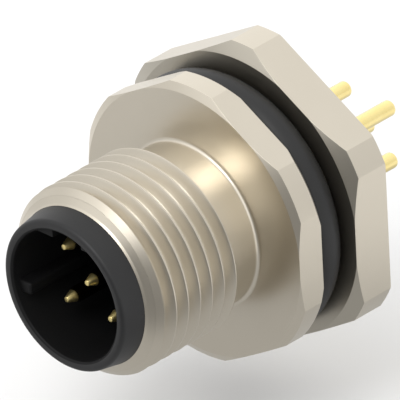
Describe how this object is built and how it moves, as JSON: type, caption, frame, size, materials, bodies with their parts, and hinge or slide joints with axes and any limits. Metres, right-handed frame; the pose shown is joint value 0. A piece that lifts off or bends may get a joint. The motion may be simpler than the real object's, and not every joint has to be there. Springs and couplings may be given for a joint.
{
  "type": "circular connector",
  "caption": "Panel-mount M12 circular connector: threaded male socket with pins, hexagonal flange, sealing ring, hexagon panel nut and straight solder tails.",
  "frame": {"origin": "on the axis, in the flange's rear face, which rests on the panel", "axes": "+Y along the axis towards the solder tails, the mating socket faces -Y, +Z towards the coding keyway and a corner of each hexagon"},
  "size_m": [0.018, 0.0259, 0.0198],
  "materials": {
    "plated_shell": "nickel plated brass, turned, satin",
    "plated_nut": "nickel plated brass, smooth",
    "seal_rubber": "black moulded rubber",
    "carrier_plastic": "black moulded plastic, fine grain",
    "potting_resin": "cast black resin",
    "contact_gold": "gold plated"
  },
  "bodies": {
    "housing": {"shell": "plated_shell", "carrier": "carrier_plastic", "carrier_seal": "seal_rubber", "potting": "potting_resin", "panel_seal": "seal_rubber", "contact_1": "contact_gold", "contact_2": "contact_gold", "contact_3": "contact_gold", "contact_4": "contact_gold", "contact_5": "contact_gold"},
    "nut": {"panel_nut": "plated_nut"}
  },
  "joints": [
    {"name": "nut_turn", "type": "hinge", "parent": "housing", "child": "nut", "pos_m": [0, 0, 0], "axis": [0, 1, 0], "range_deg": [-38, 1080]}
  ]
}
